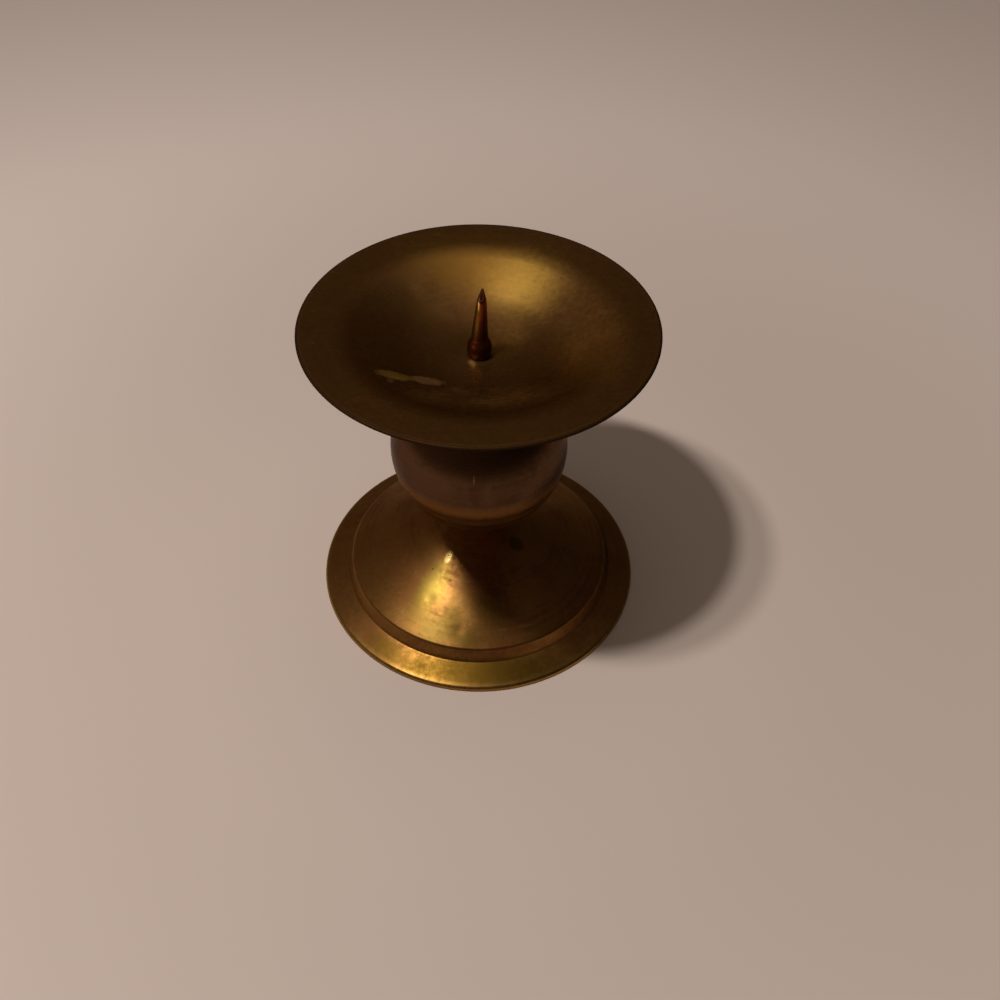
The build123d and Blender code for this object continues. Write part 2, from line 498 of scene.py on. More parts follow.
@dataclass(frozen=True)
class Mark:
    """Long spot of another colour inside an ellipsoid: painted highlights, reflections and shade, a light
    streak and a stain.

    Attributes:
        name: what it is.
        place: middle of the spot, in millimetres.
        half_sizes: half its length, width and height, in millimetres.
        turn: angle of its length about Z, in degrees from X.
        colour: colour inside it.
        share: how strongly it covers the metal, from 0 to 1.
        ragged: how uneven its edge is.
        fade: how far inside its edge it starts to fade, in half sizes.
        dulling: how much rougher it is than the metal around it.
        grain: size of the unevenness of its edge, in millimetres.
        tail: how far outside its edge it ends, in half sizes.
    """

    name: str
    place: Point
    half_sizes: Point
    turn: float
    colour: Colour
    share: float
    ragged: float = 0.5
    fade: float = 0.9
    dulling: float = 0.0
    grain: float = 1.7
    tail: float = 0.1

    def cover(self, bench: Bench, place: Feed) -> Socket:
        """Inside of the mark: its distance in half sizes, with an uneven edge, is under one.

        Args:
            bench: bench of the material.
            place: coordinates in millimetres.

        Returns:
            The mark's share inside it, and 0 outside.
        """
        settings = {"vector_type": "TEXTURE", "label": self.name}
        turn = (0.0, 0.0, math.radians(self.turn))
        inputs = {"Vector": place, "Location": self.place, "Rotation": turn, "Scale": self.half_sizes}
        away = bench.length(bench.node("Mapping", settings, inputs).outputs[0])
        uneven = bench.added(away, bench.noise(place, self.grain, detail=3.0), self.ragged)
        edge = 1 + self.ragged / 2
        return bench.between(uneven, edge - self.fade, edge + self.tail, self.share, 0.0)


@dataclass(frozen=True)
class AgedBrass:
    """Spun or turned brass with patches of tarnish, spinning rings, pits and worn edges, and with painted
    sheen, painted shade and painted highlights.

    A span is the two values of a pattern between which something fades in.

    Attributes:
        name: name of the material.
        clean: colour of the thinly tarnished metal.
        tarnished: colour of the browned patches.
        dirt_and_shade_colour: colour of pits, of soiling, and of painted shade on darkened stretches and
            near corners.
        bright: colour of worn edges and bright scratches, and of the painted reflection on the ball's lower
            half.
        roughness: roughness of the thinly tarnished metal.
        stretch: how much the rings draw the gloss out across them, from 0 to 1.
        stretch_turn: direction in which they draw it out, in turns.
        limb: tint of the metal where it is seen almost edge on.
        mottle_size: size of the fine mottling, in millimetres.
        mottle_edge: how far the mottling moves the edges of the patches.
        mottle_dulling: how much the mottling changes the roughness.
        mottle_height: height of the mottling, in millimetres.
        patch_size: size of the tarnish patches, in millimetres.
        patch_span: span of a patch.
        patch_dulling: how much rougher a patch is.
        ring_pitch: distance between spinning rings, in millimetres.
        ring_edge: how far the rings move the edges of the patches.
        ring_depth: height of the rings, in millimetres.
        pit_spacing: distance between places where a pit may lie, in millimetres.
        pit_share: share of those places that have one.
        pit_span: span of a pit, in spacings from its middle.
        pit_depth: depth of a pit, in millimetres.
        scratch_runs: direction in degrees and spacing in millimetres of each set of hair scratches.
        scratch_draw: width of the scratches' pattern over its length.
        scratch_width: width of a scratch, in values of its pattern.
        scratch_patch: size of the patches that are scratched, in millimetres.
        scratch_span: span of such a patch.
        scratch_share: how strongly hair scratches show, from 0 to 1.
        scratch_depth: depth of a scratch, in millimetres.
        rub: how much rougher worn places and painted sheen are, below 0 for smoother.
        rub_span: span of the mottling in which wear and painted sheen show.
        rub_share: how strongly wear and painted sheen show, from 0 to 1.
        darkening_span: span of the mottling in which a stretch's darkening shows.
        full_darkening: span of a stretch's darkening over which it shows whatever the mottling.
        dirt_and_shade_share: how strongly pits, soiling and painted shade cover the metal, from 0 to 1.
        dirt_and_shade_dulling: how much rougher pits, soiling and painted shade are.
        marks: single spots, most of them painted highlights, reflections and shade.
    """

    name: str
    clean: Colour
    tarnished: Colour
    dirt_and_shade_colour: Colour
    bright: Colour
    roughness: float
    stretch: float = 0.1
    stretch_turn: float = 0.25
    limb: Colour = (0.7, 0.66, 0.6)
    mottle_size: float = 1.5
    mottle_edge: float = 0.25
    mottle_dulling: float = 0.16
    mottle_height: float = 0.003
    patch_size: float = 13.0
    patch_span: Span = (0.42, 0.66)
    patch_dulling: float = 0.07
    ring_pitch: float = 1.3
    ring_edge: float = 0.22
    ring_depth: float = 0.004
    pit_spacing: float = 2.2
    pit_share: float = 0.2
    pit_span: Span = (0.05, 0.17)
    pit_depth: float = 0.03
    scratch_runs: tuple[tuple[float, float], ...] = ((35.0, 3.1), (-62.0, 4.3))
    scratch_draw: float = 0.07
    scratch_width: float = 0.008
    scratch_patch: float = 9.0
    scratch_span: Span = (0.5, 0.62)
    scratch_share: float = 0.35
    scratch_depth: float = 0.003
    rub: float = -0.1
    rub_span: Span = (0.15, 0.5)
    rub_share: float = 0.8
    darkening_span: Span = (0.2, 0.55)
    full_darkening: Span = (0.7, 1.0)
    dirt_and_shade_share: float = 0.92
    dirt_and_shade_dulling: float = 0.3
    marks: tuple[Mark, ...] = ()

    def pits(self, bench: Bench, place: Feed) -> Socket:
        """Small round pits: near the middle of some cells of a Voronoi pattern.

        Args:
            bench: bench of the material.
            place: coordinates in millimetres.

        Returns:
            1 inside a pit and 0 outside.
        """
        cells = bench.node("TexVoronoi", {}, {"Vector": place, "Scale": 1 / self.pit_spacing})
        chosen = bench.math("LESS_THAN", cells.outputs["Color"], self.pit_share)
        return bench.times(bench.between(cells.outputs["Distance"], *self.pit_span, 1.0, 0.0), chosen)

    def scratches(self, bench: Bench, place: Feed) -> Socket:
        """Hair scratches: the thin level lines of two patterns drawn out along two directions.

        Args:
            bench: bench of the material.
            place: coordinates in millimetres.

        Returns:
            1 on a scratch and 0 elsewhere.
        """
        lines = []
        for turn, size in self.scratch_runs:
            drawn = {"Rotation": (0.0, 0.0, math.radians(turn)), "Scale": (self.scratch_draw, 1.0, 1.0)}
            along = bench.node("Mapping", {}, {"Vector": place, **drawn}).outputs[0]
            cloud = bench.noise(along, size, detail=1.0)
            level = bench.math("ABSOLUTE", bench.math("SUBTRACT", cloud, 0.5))
            lines.append(bench.between(level, 0.0, self.scratch_width, 1.0, 0.0))
        patch = bench.between(bench.noise(place, self.scratch_patch, detail=2.0), *self.scratch_span)
        return bench.times(bench.math("MAXIMUM", *lines), patch)

    def material(self) -> bpy.types.Material:
        """Lays out the finish.

        Returns:
            The material.
        """
        bench = Bench(self.name)
        place = bench.millimetres()
        grime_and_shade = bench.shade("grime_and_shade")
        rings = bench.stripes(bench.shade("run"), self.ring_pitch)
        mottle = bench.noise(place, self.mottle_size, detail=5.0, roughness=0.65)
        patches = bench.noise(place, self.patch_size, detail=6.0, roughness=0.6, twist=0.5)
        blotched = bench.swung(bench.swung(patches, rings, self.ring_edge), mottle, self.mottle_edge)
        tarnish = bench.between(blotched, *self.patch_span)
        pits = self.pits(bench, place)
        scratches = self.scratches(bench, place)
        # Soiling and painted shade: darkened stretches, patchy with the mottling and whole where fully
        # darkened, and pits.
        patchy = bench.times(grime_and_shade, bench.between(mottle, *self.darkening_span))
        covered = bench.math("MAXIMUM", patchy, bench.between(grime_and_shade, *self.full_darkening))
        dirt_and_shade = bench.math("MAXIMUM", covered, pits)
        # Wear and painted sheen: brighter colour near the given places, the foot's worn rim and the painted
        # reflection of the lit foot on the ball's lower half.
        rubbed_and_sheen = bench.times(bench.shade("polish_and_sheen"), bench.between(mottle, *self.rub_span))

        colour = bench.mix(tarnish, opaque(self.clean), opaque(self.tarnished))
        colour = bench.mix(bench.times(scratches, self.scratch_share), colour, opaque(self.bright))
        colour = bench.mix(bench.times(rubbed_and_sheen, self.rub_share), colour, opaque(self.bright))
        colour = bench.mix(bench.times(dirt_and_shade, self.dirt_and_shade_share), colour, opaque(self.dirt_and_shade_colour))
        gloss = bench.swung(self.roughness, mottle, self.mottle_dulling)
        gloss = bench.added(gloss, tarnish, self.patch_dulling)
        gloss = bench.added(gloss, rubbed_and_sheen, self.rub)
        gloss = bench.added(gloss, dirt_and_shade, self.dirt_and_shade_dulling)
        open_metal = bench.times(bench.outside(), bench.math("SUBTRACT", 1.0, rubbed_and_sheen))
        # Marks, most of them painted highlights, reflections and shade, lie over open metal that faces up or
        # sideways.
        for mark in self.marks:
            spot = bench.times(mark.cover(bench, place), open_metal)
            colour = bench.mix(spot, colour, opaque(mark.colour))
            gloss = bench.added(gloss, spot, mark.dulling)

        height = bench.times(rings, self.ring_depth)
        height = bench.added(height, mottle, self.mottle_height)
        height = bench.added(height, pits, -self.pit_depth)
        height = bench.added(height, scratches, -self.scratch_depth)
        bench.finish({
            "Base Color": colour,
            "Roughness": gloss,
            "Normal": bench.relief(height),
            "Metallic": 1.0,
            "Specular Tint": opaque(self.limb),
            "Anisotropic": self.stretch,
            "Anisotropic Rotation": self.stretch_turn,
        })
        return bench.material


@dataclass(frozen=True)
class DulledZinc:
    """Zinc plated steel that has gone dull in clouds, with a few rusty specks.

    Sizes and the relief are millimetres. A span is the two values of a pattern between which
    something fades in.
    """

    name: str = "dulled_zinc"
    plated: Colour = (0.36, 0.34, 0.31)
    dulled: Colour = (0.20, 0.185, 0.165)
    rust: Colour = (0.14, 0.06, 0.025)
    roughness: float = 0.25
    cloud_size: float = 2.2
    cloud_span: Span = (0.35, 0.65)
    cloud_dulling: float = 0.3
    cloud_relief: float = 0.01
    speck_size: float = 0.9
    speck_span: Span = (0.62, 0.7)
    speck_share: float = 0.8
    speck_dulling: float = 0.3

    def material(self) -> bpy.types.Material:
        """Lays out the finish.

        Returns:
            The material.
        """
        bench = Bench(self.name)
        place = bench.millimetres()
        cloud = bench.noise(place, self.cloud_size, detail=5.0, roughness=0.6)
        speck = bench.between(bench.noise(place, self.speck_size, detail=3.0), *self.speck_span)
        colour = bench.mix(bench.between(cloud, *self.cloud_span), opaque(self.plated), opaque(self.dulled))
        colour = bench.mix(bench.times(speck, self.speck_share), colour, opaque(self.rust))
        gloss = bench.added(self.roughness, cloud, self.cloud_dulling)
        gloss = bench.added(gloss, speck, self.speck_dulling)
        relief = bench.relief(bench.times(cloud, self.cloud_relief))
        bench.finish({"Base Color": colour, "Roughness": gloss, "Normal": relief, "Metallic": 1.0})
        return bench.material


@dataclass
class Foot:
    """Spun foot of one wall: rim, flange, step, cone and a short neck, closed by a flat land."""

    levels: Levels
    radius: float = 50.0
    wall: float = 1.0
    rim_height: float = 1.3
    step_bottom: Station = (42.3, 4.1)
    step_top: Station = (40.6, 8.0)
    cone_slope: float = 28.0
    flare_radius: float = 3.0
    neck_radius: float = 7.4
    bend_radius: float = 0.4
    edge_radius: float = 0.28
    hole_radius: float = ROD_HOLE_RADIUS
    rubbed_inset: float = 0.3
    # Darker on the foot's inner face and near the corner at the neck.
    inside_darkening: float = 0.45
    round_steps: int = 12
    sides: int = 288
    dents: tuple[Dent, ...] = (
        Dent(-14.8, -26.3, 0.10, 1.6),
        Dent(-6.0, -35.5, 0.08, 1.3),
        Dent(24.0, 16.0, 0.14, 2.4),
        Dent(-26.0, 21.0, 0.12, 2.0),
        Dent(8.0, 30.0, 0.10, 1.8),
    )

    def build(self) -> bpy.types.Object:
        """Traces the outer side up to the rod's hole and the inner side down again.

        Returns:
            The foot.
        """
        land = self.levels.foot_land
        rise = (self.step_top[0] - self.neck_radius) * math.tan(math.radians(self.cone_slope))
        outer = [
            (self.radius, 0.0),
            (self.radius, self.rim_height),
            self.step_bottom,
            self.step_top,
            (self.neck_radius, self.step_top[1] + rise),
            (self.neck_radius, land),
            (self.hole_radius, land),
        ]
        inner = beside(outer, self.wall)[::-1]
        bottom = (self.radius - self.wall / 2, 0.0)
        bend, wide_bend = self.bend_radius, self.bend_radius + self.wall
        outside = eased(
            [bottom, *outer, inner[0]],
            [self.edge_radius, wide_bend, bend, wide_bend, self.flare_radius, wide_bend, HOLE_EDGE_RADIUS],
            self.round_steps,
        )
        inner_flare = self.flare_radius + self.wall
        inside = eased(
            [outer[-1], *inner, bottom],
            [HOLE_EDGE_RADIUS, bend, inner_flare, bend, wide_bend, bend, self.edge_radius],
            self.round_steps,
        )
        surface = turned(
            [Strip(outside[:-1]), Strip(inside[1:], self.inside_darkening)],
            self.sides,
            polished_and_sheen=[(self.radius - self.rubbed_inset, self.rim_height - self.rubbed_inset)],
            corners=[(self.neck_radius, land)],
        )
        surface.dent(self.dents)
        return seat(surface.mesh("foot_shell"), Body.STAND, Slot.FOOT, "foot")


@dataclass
class BallKnop:
    """Hollow ball of two spun halves, lapped inside and soldered at the equator."""

    levels: Levels
    radius: float = 25.7
    wall: float = 1.0
    land_radius: float = 7.0
    hole_radius: float = ROD_HOLE_RADIUS
    lap_height: float = 4.0
    lap_clearance: float = 0.05
    lap_rise: float = 0.5
    lap_edge: float = 0.1
    seam_edge: float = 0.02
    # Darker on the inside of the ball.
    inside_darkening: float = 0.4
    seam_grime: float = 0.1
    # Painted reflection: a lighter zone from 9 to 70 degrees below the equator, where the ball reflects the
    # lit foot, given as wear.
    rubbed_and_sheen: Span = (-9.0, -70.0)
    sheen_places: int = 7
    sheen_reach: float = 2.6
    outer_steps: int = 64
    inner_steps: int = 40
    round_steps: int = 5
    sides: int = 224

    def shell(self, side: int) -> tuple[np.ndarray, np.ndarray, np.ndarray]:
        """Outer arc, pole and inner arc of one half, from its seam to the pole and back.

        Args:
            side: 1 for the upper half and -1 for the lower one.

        Returns:
            The three stretches of its outline.
        """
        middle = (0.0, self.levels.ball_middle)
        inner_radius = self.radius - self.wall
        land = math.sqrt(self.radius**2 - self.land_radius**2)
        land_angle = math.degrees(math.asin(land / self.radius))
        inner_angle = math.degrees(math.asin((land - self.wall) / inner_radius))
        outer = arc(middle, self.radius, 0, side * land_angle, self.outer_steps)
        inner = arc(middle, inner_radius, side * inner_angle, 0, self.inner_steps)
        heights = (middle[1] + side * land, middle[1] + side * (land - self.wall))
        hole = [(self.hole_radius, height) for height in heights]
        pole = eased([tuple(outer[-1]), *hole, tuple(inner[0])], [HOLE_EDGE_RADIUS] * 2, self.round_steps)
        return outer, pole, inner

    def upper(self) -> Surface:
        """Upper half: the shell, with its edge bevelled inside for the spigot and eased outside.

        The bevel runs straight from the inner arc to the middle of the edge's round.

        Returns:
            The surface of the upper half.
        """
        seam = self.levels.ball_middle
        outer, pole, inner = self.shell(1)
        corners = [(self.radius - self.wall, seam), (self.radius, seam), tuple(outer[1])]
        edge = eased(corners, [self.seam_edge], self.round_steps)
        round_middle = (self.round_steps + 1) // 2
        strips = [
            Strip(outer[1:]),
            Strip(pole, self.inside_darkening),
            Strip(inner[:-1], self.inside_darkening),
            Strip(edge[round_middle:-1], self.seam_grime),
        ]
        return turned(strips, self.sides)

    def lower(self) -> Surface:
        """Lower half: the shell, a spigot that laps inside the upper half, and a lighter zone below the
        equator, a painted reflection of the lit foot given as wear.

        Returns:
            The surface of the lower half.
        """
        seam = self.levels.ball_middle
        outer, pole, inner = self.shell(-1)
        spigot = math.sqrt((self.radius - self.wall) ** 2 - self.lap_height**2) - self.lap_clearance
        bore = spigot - self.wall
        start = inner[inner[:, 0] < bore]
        corners = [
            tuple(start[-1]),
            (bore, start[-1, 1] + self.lap_rise),
            (bore, seam + self.lap_height),
            (spigot, seam + self.lap_height),
            (spigot, seam),
            (self.radius, seam),
            tuple(outer[1]),
        ]
        rim = eased(corners, [self.lap_edge] * 3 + [self.seam_edge] * 2, self.round_steps)
        outline = np.vstack((outer[1:], pole, start, rim))[::-1]
        # Painted reflection: the places below the equator that are made lighter.
        sheen_spots = [tuple(spot) for spot in arc((0.0, seam), self.radius, *self.rubbed_and_sheen, self.sheen_places)]
        return turned([Strip(outline)], self.sides, polished_and_sheen=sheen_spots, polish_and_sheen_reach=self.sheen_reach)

    def build(self) -> list[bpy.types.Object]:
        """Builds the two halves.

        Returns:
            The upper and the lower half.
        """
        return [
            seat(self.upper().mesh("knop_upper_shell"), Body.STAND, Slot.KNOP, "knop_upper_half"),
            seat(self.lower().mesh("knop_lower_shell"), Body.STAND, Slot.KNOP, "knop_lower_half"),
        ]


@dataclass
class PanCollar:
    """Waisted turned collar that carries the pan on the ball's upper pole."""

    levels: Levels
    height: float = 6.95
    pan_wall: float = 1.0
    seat_radius: float = 25.75
    land_rise: float = 24.73
    base_radius: float = 10.0
    base_edge: float = 1.5
    waist_radius: float = 5.2
    top_radius: float = 5.5
    top_edge: float = 1.2
    hole_radius: float = ROD_HOLE_RADIUS
    edge_radius: float = 0.3
    # Darker on the underside and the waist, and near a spot on the waist.
    darkening_offset: float = 0.6
    underside_darkening: float = 0.6
    waist_darkening: float = 0.3
    underside_steps: int = 16
    waist_steps: int = 24
    round_steps: int = 6
    sides: int = 128

    def waist(self, bottom: float, top: float) -> np.ndarray:
        """Arc from the base's edge through the waist to the top's edge.

        The circle through three points has its middle where the lines that halve two of
        its chords at right angles cross.

        Args:
            bottom: height of the waist's lower end.
            top: height of its upper end.

        Returns:
            The points from the lower end to the upper one.
        """
        low = np.array((self.base_radius, bottom))
        mid = np.array((self.waist_radius, (bottom + top) / 2))
        high = np.array((self.top_radius, top))
        chords = np.array((mid - low, high - mid))
        halves = np.array((mid + low, high + mid)) / 2
        middle = np.linalg.solve(chords, (chords * halves).sum(axis=1))
        spokes = np.array((low, high)) - middle
        angles = np.degrees(np.arctan2(spokes[:, 1], spokes[:, 0])) % 360
        return arc(tuple(middle), float(np.linalg.norm(spokes[0])), *angles, self.waist_steps)

    def build(self) -> bpy.types.Object:
        """Traces the dished underside out, the waist up and the top back to the hole.

        Returns:
            The collar.
        """
        base = self.levels.pan_floor - self.pan_wall - self.height
        top = base + self.height
        middle = (0.0, self.levels.ball_middle)
        skirt_start = math.sqrt(self.seat_radius**2 - self.land_rise**2)
        skirt_end = math.sqrt(self.seat_radius**2 - self.base_radius**2) + middle[1]
        angles = [math.degrees(math.acos(r / self.seat_radius)) for r in (skirt_start, self.base_radius)]
        underside = arc(middle, self.seat_radius, *angles, self.underside_steps)
        waist = self.waist(skirt_end + self.base_edge, top - self.top_edge)
        foot_edge = eased(
            [tuple(underside[-2]), (self.base_radius, skirt_end), tuple(waist[0]), tuple(waist[2])],
            [self.edge_radius] * 2,
            self.round_steps,
        )
        head_corners = [
            tuple(waist[-3]),
            tuple(waist[-1]),
            (self.top_radius, top),
            (self.hole_radius, top),
            (self.hole_radius, base),
            tuple(underside[0]),
        ]
        head_radii = [self.edge_radius] * 2 + [HOLE_EDGE_RADIUS] * 2
        strips = [
            Strip(underside[:-2], self.underside_darkening),
            Strip(foot_edge),
            Strip(waist[3:-3], self.waist_darkening),
            Strip(eased(head_corners, head_radii, self.round_steps), self.waist_darkening),
        ]
        darkened_spot = (self.waist_radius + self.darkening_offset, base + self.height / 2)
        surface = turned(strips, self.sides, corners=[darkened_spot])
        return seat(surface.mesh("collar_turned"), Body.STAND, Slot.TURNED, "pan_collar")


@dataclass(frozen=True)
class Wave:
    """One wave of a rim: its share of the height, how often it runs round, and its start in radians."""

    share: float
    times: int
    start: float


@dataclass
class DripPan:
    """Spun bowl of one wall: flat land, hollow arc, straight wall, crest arc, brim, rounded edge."""

    levels: Levels
    radius: float = 47.5
    wall: float = 1.0
    land_radius: float = 6.0
    hollow_end: float = 22.5
    crest_start: float = 33.0
    crest_end: float = 39.0
    side_slope: float = 24.3
    brim_slope: float = 5.0
    hole_radius: float = ROD_HOLE_RADIUS
    spike_radius: float = 2.9
    rim_wave: float = 0.14
    waves: tuple[Wave, ...] = (Wave(0.6, 2, 0.7), Wave(0.4, 3, 2.1))
    # Darker on the underside, and near the corner at the spike's base.
    underside_darkening: float = 0.25
    # Soiling and painted shade: the rim's rounded edge is darkened fully and made rougher, so that it shows
    # no bright line of reflected light.
    edge_dirt_and_shade: float = 1.0
    hollow_steps: int = 40
    hollow_steps_below: int = 32
    crest_steps: int = 16
    edge_steps: int = 14
    round_steps: int = 5
    sides: int = 288
    dents: tuple[Dent, ...] = (
        Dent(-19.0, 20.0, 0.09, 3.2),
        Dent(22.0, -24.0, 0.08, 2.6),
        Dent(-31.0, -12.0, 0.07, 2.2),
    )

    def outline(self) -> list[Strip]:
        """Traces the underside out, the edge up and the upper side back to the hole.

        The hollow arc turns from level to the side's slope, and the crest arc from there back
        to the brim's slope, so their radii follow from the widths that they cover.

        Returns:
            The stretches of the outline.
        """
        floor = self.levels.pan_floor
        side, brim = math.radians(self.side_slope), math.radians(self.brim_slope)
        edge = self.wall / 2
        brim_end = self.radius - edge * (1 + math.sin(brim))
        hollow = (self.hollow_end - self.land_radius) / math.sin(side)
        crest = (self.crest_end - self.crest_start) / (math.sin(side) - math.sin(brim))
        wall_rise = (self.crest_start - self.hollow_end) * math.tan(side)
        wall_top = floor + hollow * (1 - math.cos(side)) + wall_rise
        hollow_middle = (self.land_radius, floor + hollow)
        crest_middle = (self.crest_start + crest * math.sin(side), wall_top - crest * math.cos(side))
        brim_top = crest_middle[1] + crest * math.cos(brim) + (brim_end - self.crest_end) * math.tan(brim)
        edge_middle = (brim_end + edge * math.sin(brim), brim_top - edge * math.cos(brim))
        up, flat = 90 + self.side_slope, 90 + self.brim_slope
        under = np.vstack((
            arc(hollow_middle, hollow + self.wall, -90, up - 180, self.hollow_steps_below),
            arc(crest_middle, crest - self.wall, up, flat, self.crest_steps),
        ))
        rim = arc(edge_middle, edge, flat - 180, flat, self.edge_steps)
        upper = np.vstack((
            arc(crest_middle, crest, flat, up, self.crest_steps),
            arc(hollow_middle, hollow, up - 180, -90, self.hollow_steps),
        ))
        hole = [(self.hole_radius, floor), (self.hole_radius, floor - self.wall)]
        land = eased([tuple(upper[-1]), *hole, tuple(under[0])], [HOLE_EDGE_RADIUS] * 2, self.round_steps)
        return [
            Strip(np.vstack((under, rim[:1])), self.underside_darkening),
            Strip(rim, self.edge_dirt_and_shade),
            Strip(np.vstack((rim[-1:], upper))),
            Strip(land),
        ]

    def build(self) -> bpy.types.Object:
        """Turns the outline, waves its rim and dents it.

        The rim rises and falls with the sines of the waves, and with the fourth power of radius.

        Returns:
            The pan.
        """
        surface = turned(self.outline(), self.sides, corners=[(self.spike_radius, self.levels.pan_floor)])
        x, y = surface.points[..., 0], surface.points[..., 1]
        angle = np.arctan2(y, x)
        risen = sum(wave.share * np.sin(wave.times * angle + wave.start) for wave in self.waves)
        surface.points[..., 2] += self.rim_wave * (np.hypot(x, y) / self.radius) ** 4 * risen
        surface.dent(self.dents)
        return seat(surface.mesh("pan_bowl"), Body.STAND, Slot.PAN, "drip_pan")


@dataclass
class Pricket:
    """Spike with a swollen base, tapped from below for the tie rod."""

    levels: Levels
    height: float = 20.9
    base_radius: float = 2.9
    base_edge: float = 0.15
    swell_radius: float = 3.3
    swell_height: float = 2.2
    shank: Station = (2.3, 5.5)
    taper: Station = (1.3, 17.3)
    taper_blend: float = 9.0
    shank_blend: float = 3.0
    tip_radius: float = 0.35
    socket_radius: float = 2.04
    socket_depth: float = 4.2
    socket_point: float = 1.2
    socket_edge: float = 0.1
    lean: float = 0.8
    lean_power: float = 1.5
    dull_height: float = 9.5
    # Darker towards the base: the socket, the swell and the shank below dull_height are darkened, and so is
    # the corner at the base.
    socket_darkening: float = 0.6
    swell_darkening: float = 0.7
    shank_darkening: float = 0.5
    swell_steps: int = 16
    socket_steps: int = 5
    blend_steps: int = 14
    tip_steps: int = 8
    sides: int = 96

    def build(self) -> bpy.types.Object:
        """Traces the socket down, the base out and the spike up to its tip, and leans it a little.

        The swell is an arc through the base's edge and the widest place: its radius is the sum
        of the squares of its half height and its bulge, over twice the bulge.

        Returns:
            The spike.
        """
        bulge = self.swell_radius - self.base_radius
        bow = (self.swell_height**2 + bulge**2) / (2 * bulge)
        half_angle = math.degrees(math.asin(self.swell_height / bow))
        swell_middle = (self.swell_radius - bow, self.swell_height)
        swell = arc(swell_middle, bow, -half_angle, half_angle, self.swell_steps)
        socket_corners = [
            (0.0, self.socket_depth + self.socket_point),
            (self.socket_radius, self.socket_depth),
            (self.socket_radius, 0.0),
            (self.base_radius, 0.0),
            tuple(swell[1]),
        ]
        socket_radii = [self.socket_edge, self.socket_edge, self.base_edge]
        tip_middle = self.height - self.tip_radius
        spike = eased(
            [tuple(swell[-2]), self.shank, self.taper, (self.tip_radius, tip_middle)],
            [self.shank_blend, self.taper_blend],
            self.blend_steps,
        )
        tip = arc((0.0, tip_middle), self.tip_radius, 0, 90, self.tip_steps)
        low = spike[:, 1] < self.dull_height
        strips = [
            Strip(eased(socket_corners, socket_radii, self.socket_steps), self.socket_darkening),
            Strip(swell[2:-2], self.swell_darkening),
            Strip(spike[low], self.shank_darkening),
            Strip(spike[~low]),
            Strip(tip[1:]),
        ]
        surface = turned(strips, self.sides, looped=False, corners=[(self.base_radius, 0.0)])
        risen = surface.points[..., 2] / self.height
        surface.points[..., 0] += self.lean * risen**self.lean_power
        surface.points[..., 2] += self.levels.pan_floor
        return seat(surface.mesh("pricket_spike"), Body.PRICKET, Slot.TURNED, "pricket")


@dataclass
class TieRod:
    """Threaded rod that draws the stand together."""

    levels: Levels
    radius: float = 2.0
    thread_depth: float = 0.38
    pitch: float = 0.7
    chamfer: float = 0.5
    grime_and_shade: float = 0.3
    rows_per_turn: int = 8
    sides: int = 24

    def build(self) -> bpy.types.Object:
        """Makes the thread: the radius falls by the depth times a triangle wave.

        The wave runs once for each pitch of height, less once for each turn of angle, so that
        its crest climbs as a right-hand screw. At both ends a 45 degree chamfer caps it.

        Returns:
            The rod.
        """
        low, high = self.levels.rod_bottom, self.levels.rod_top
        rows = math.ceil((high - low) / self.pitch * self.rows_per_turn)
        height = np.linspace(low, high, rows)[:, None]
        angle = np.arange(self.sides)[None] * (2 * math.pi / self.sides)
        phase = (height / self.pitch - angle / (2 * math.pi)) % 1
        crest = self.radius - self.thread_depth * (1 - np.abs(2 * phase - 1))
        end = np.minimum(height - low, high - height)
        radius = np.minimum(crest, self.radius - self.chamfer + end)
        side = np.stack((radius * np.cos(angle), radius * np.sin(angle), height + 0 * angle), axis=-1)
        ends = np.zeros((2, 1, self.sides, 3))
        ends[0, ..., 2], ends[1, ..., 2] = low, high
        run = np.concatenate(([0.0], height[:, 0] - low, [high - low]))
        shades = {"run": run, "polish_and_sheen": 0 * run, "grime_and_shade": 0 * run + self.grime_and_shade}
        surface = Surface(np.concatenate((ends[0], side, ends[1])), shades, looped=False)
        return seat(surface.mesh("tie_rod_thread"), Body.TIE, Slot.FIXING, "tie_rod")


@dataclass(frozen=True)
class Lamp:
    """An area lamp: its place and width in millimetres, and its power in watts."""

    name: str
    place: Point
    width: float
    power: float
    shape: LampShape
    colour: Colour = LAMP_TINT

    def light(self, aim: Vector) -> None:
        """Puts the lamp in the scene.

        Args:
            aim: point that it faces, in metres.
        """
        data = bpy.data.lights.new(self.name, "AREA")
        data.shape = self.shape.value
        data.size = self.width * METRES_PER_MM
        data.energy = self.power
        data.color = self.colour
        lamp = bpy.data.objects.new(self.name, data)
        lamp.location = Vector(self.place) * METRES_PER_MM
        lamp.rotation_euler = (aim - lamp.location).to_track_quat("-Z", "Y").to_euler()
        bpy.context.scene.collection.objects.link(lamp)


